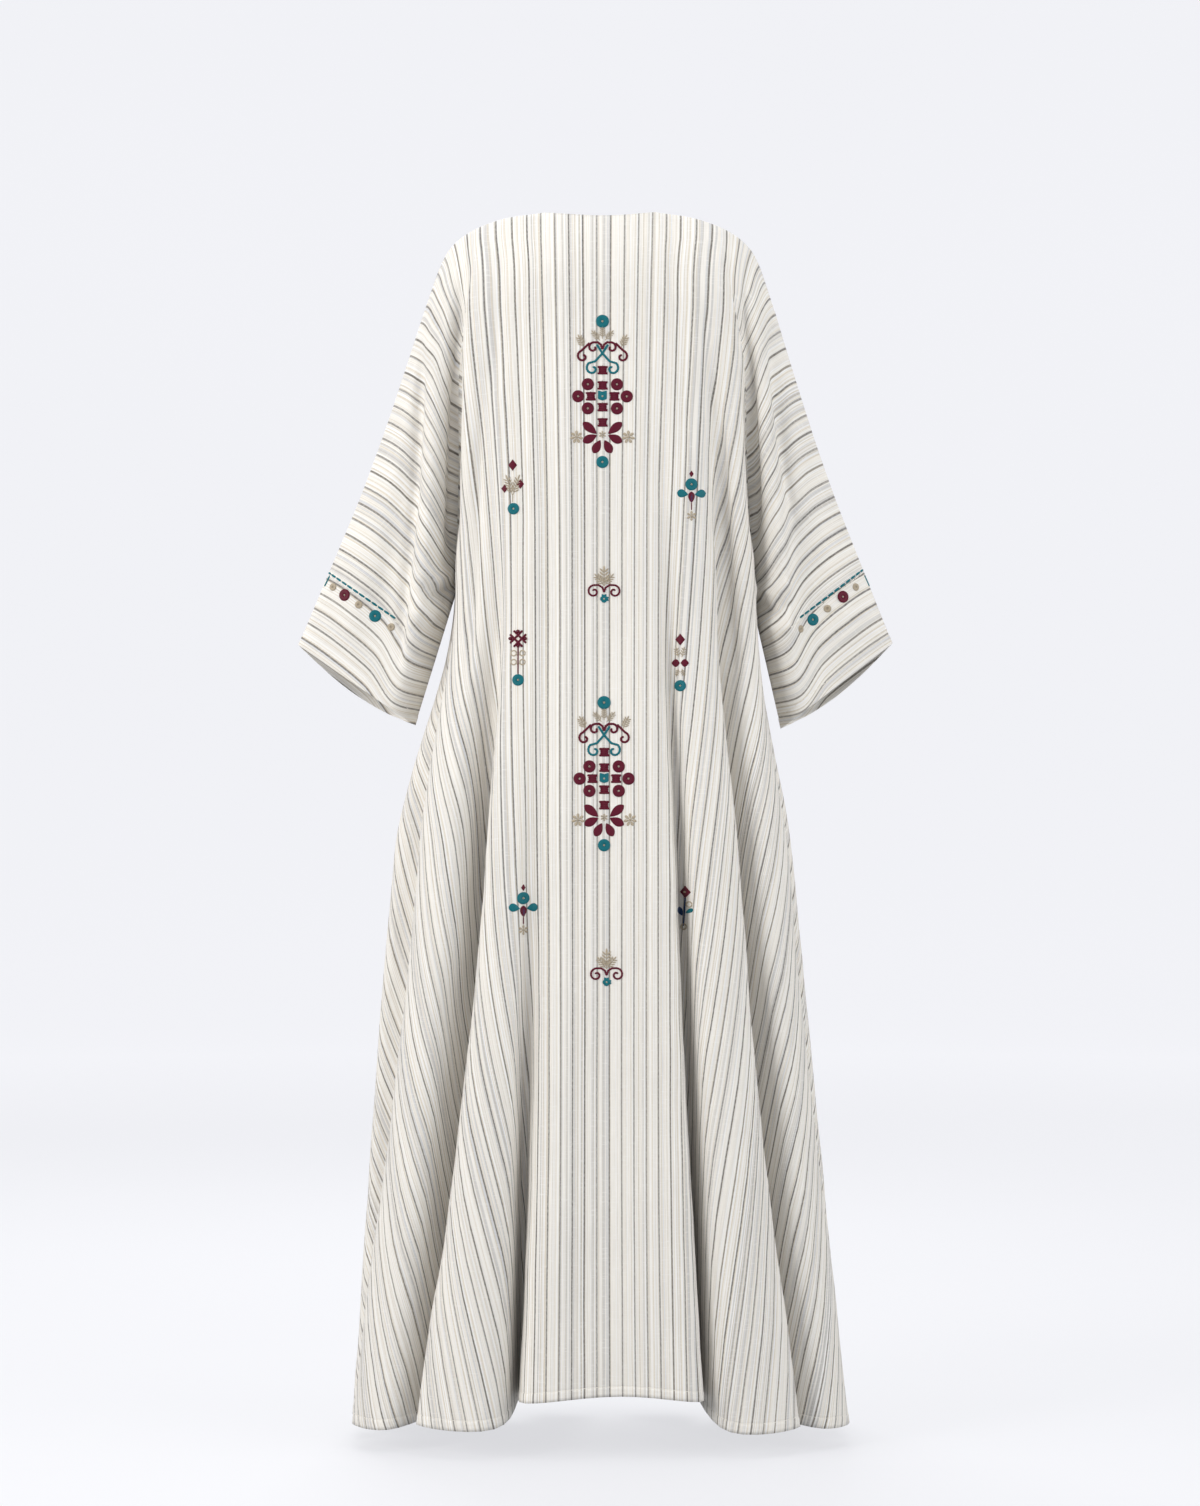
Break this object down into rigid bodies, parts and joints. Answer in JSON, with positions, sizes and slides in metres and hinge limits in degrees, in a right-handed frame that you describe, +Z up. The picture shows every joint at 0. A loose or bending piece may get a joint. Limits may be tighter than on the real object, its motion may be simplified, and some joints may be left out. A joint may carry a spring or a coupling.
{
  "type": "abaya",
  "caption": "Open-front, floor-length abaya with kimono sleeves in striped linen, embroidered down the back, in the hollow form it has when worn.",
  "frame": {"origin": "middle of the neck opening, level with the two neck points of the shoulders, where the wearer's shoulders hold the garment up", "axes": "+Z up, -Y the way the wearer faces, +X to the wearer's left"},
  "size_m": [0.7483, 0.4236, 1.512],
  "materials": {
    "linen": "matte striped linen weave",
    "thread_teal": "soft embroidery thread",
    "thread_maroon": "soft embroidery thread",
    "thread_sand": "soft embroidery thread",
    "thread_navy": "soft embroidery thread",
    "thread_seam": "matte sewing thread"
  },
  "bodies": {
    "root": {"back": "linen", "front_left": "linen", "front_right": "linen"}
  },
  "joints": []
}
